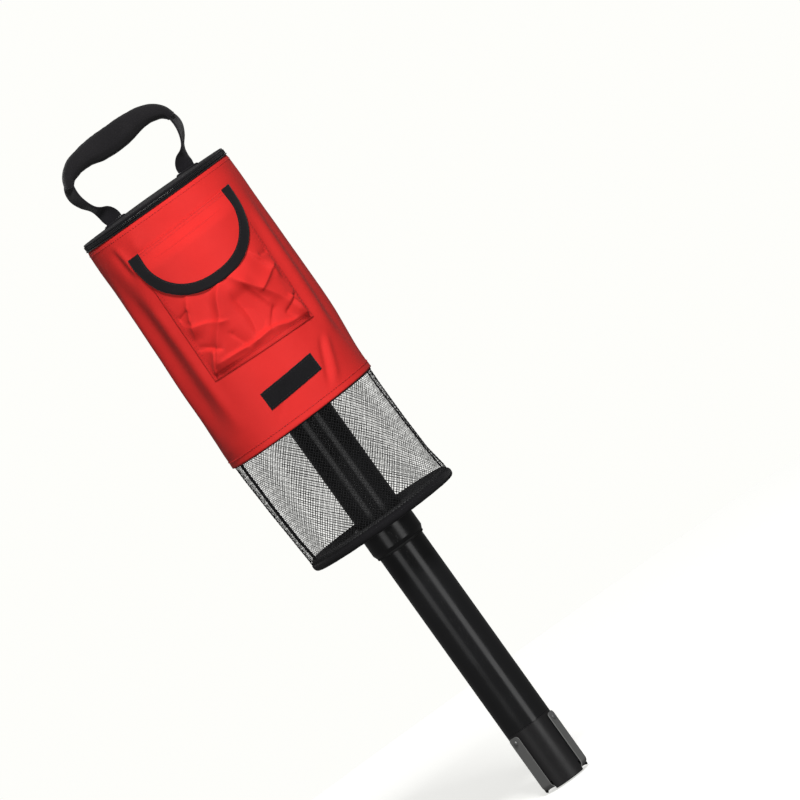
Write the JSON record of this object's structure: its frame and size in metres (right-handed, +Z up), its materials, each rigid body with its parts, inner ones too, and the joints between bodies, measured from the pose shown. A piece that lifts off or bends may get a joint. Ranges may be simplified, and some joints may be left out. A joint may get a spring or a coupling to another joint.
{
  "type": "golf ball shag bag",
  "caption": "Ball pick-up bag: tube with spring clips at its mouth, round base, net skirt, zipped nylon shell with pocket and carrying handle.",
  "frame": {"origin": "centre of the pick-up tube's mouth, in the plane of its lower rim", "axes": "+Z up along the tube's axis towards the handle, -Y towards the pocket side, +X to the right of a person facing the pocket"},
  "size_m": [0.1684, 0.179, 0.7815],
  "materials": {
    "tube_black": "gloss black coating",
    "tip_plastic": "satin",
    "collar_plastic": "gloss",
    "black_plastic": "satin",
    "soft_rubber": "matte",
    "clip_steel": "rolled spring steel",
    "screw_steel": "zinc plated",
    "hoop_steel": "drawn wire",
    "stay_webbing": "ribbed tape",
    "black_binding": "grosgrain",
    "net": "knotted net",
    "red_nylon": "plain weave, slight sheen",
    "lid_fabric": "plain weave",
    "zip_tape": "woven tape",
    "zip_teeth": "moulded coil",
    "webbing": "webbing",
    "grip_fabric": "padded webbing",
    "zip_metal": "black nickel",
    "loop_tape": "hook and loop pile"
  },
  "bodies": {
    "bag": {"collar": "collar_plastic", "grip_ring": "soft_rubber", "base_plate": "black_plastic", "rim_binding": "black_binding", "plate_screws": "screw_steel", "plate_nuts": "screw_steel", "upper_tube": "tube_black", "upper_tube_rim": "black_plastic", "net_skirt": "net", "shell": "red_nylon", "hem_tape": "black_binding", "rim_piping": "black_binding", "top_hoop": "hoop_steel", "side_stay_left": "stay_webbing", "side_stay_right": "stay_webbing", "zip_tape_lower": "zip_tape", "zip_teeth_lower": "zip_teeth", "lid_hinge_tape": "lid_fabric", "pocket": "red_nylon", "pocket_loop_tape": "loop_tape", "front_patch": "loop_tape"},
    "lid": {"zip_teeth_upper": "zip_teeth", "zip_tape_upper": "zip_tape", "lid_panel": "lid_fabric", "lid_binding": "black_binding", "handle_anchor_left": "webbing", "handle_anchor_right": "webbing"},
    "handle": {"handle_webbing": "webbing", "handle_grip": "grip_fabric"},
    "slider": {"zip_slider": "zip_metal"},
    "puller": {"zip_puller": "zip_metal"},
    "flap": {"pocket_flap": "red_nylon", "flap_binding": "black_binding", "flap_hook_tape": "loop_tape"},
    "tube": {"lower_tube": "tube_black", "tip_sleeve": "tip_plastic", "clip_rivets": "clip_steel"},
    "clip_left": {"spring_clip_left": "clip_steel"},
    "clip_right": {"spring_clip_right": "clip_steel"},
    "clip_rear": {"spring_clip_rear": "clip_steel"}
  },
  "joints": [
    {"name": "lid_open", "type": "hinge", "parent": "bag", "child": "lid", "pos_m": [0, 0.0843, 0.6966], "axis": [-1, 0, 0], "range_deg": [0, 110]},
    {"name": "handle_swing", "type": "hinge", "parent": "lid", "child": "handle", "pos_m": [0, 0, 0.7034], "axis": [1, 0, 0], "range_deg": [-70, 70], "stiffness_Nm_per_rad": 0.06},
    {"name": "zip_slide", "type": "hinge", "parent": "bag", "child": "slider", "pos_m": [0, 0, 0.6945], "axis": [0, 0, -1], "range_deg": [0, 300]},
    {"name": "puller_flip", "type": "hinge", "parent": "slider", "child": "puller", "pos_m": [0.0435, 0.07534, 0.6945], "axis": [0.866, -0.5, 0], "range_deg": [0, 150]},
    {"name": "flap_lift", "type": "hinge", "parent": "bag", "child": "flap", "pos_m": [0, -0.0938, 0.665], "axis": [-1, 0, 0], "range_deg": [0, 150]},
    {"name": "tube_pull", "type": "slide", "parent": "bag", "child": "tube", "axis": [0, 0, -1], "range_m": [0, 0.018]},
    {"name": "clip_left_flex", "type": "hinge", "parent": "tube", "child": "clip_left", "pos_m": [-0.02191, -0.01265, 0.0645], "axis": [-0.5, 0.866, 0], "range_deg": [0, 3], "stiffness_Nm_per_rad": 4},
    {"name": "clip_right_flex", "type": "hinge", "parent": "tube", "child": "clip_right", "pos_m": [0.02191, -0.01265, 0.0645], "axis": [-0.5, -0.866, 0], "range_deg": [0, 3], "stiffness_Nm_per_rad": 4},
    {"name": "clip_rear_flex", "type": "hinge", "parent": "tube", "child": "clip_rear", "pos_m": [0, 0.0253, 0.0645], "axis": [1, 0, 0], "range_deg": [0, 3], "stiffness_Nm_per_rad": 4}
  ]
}
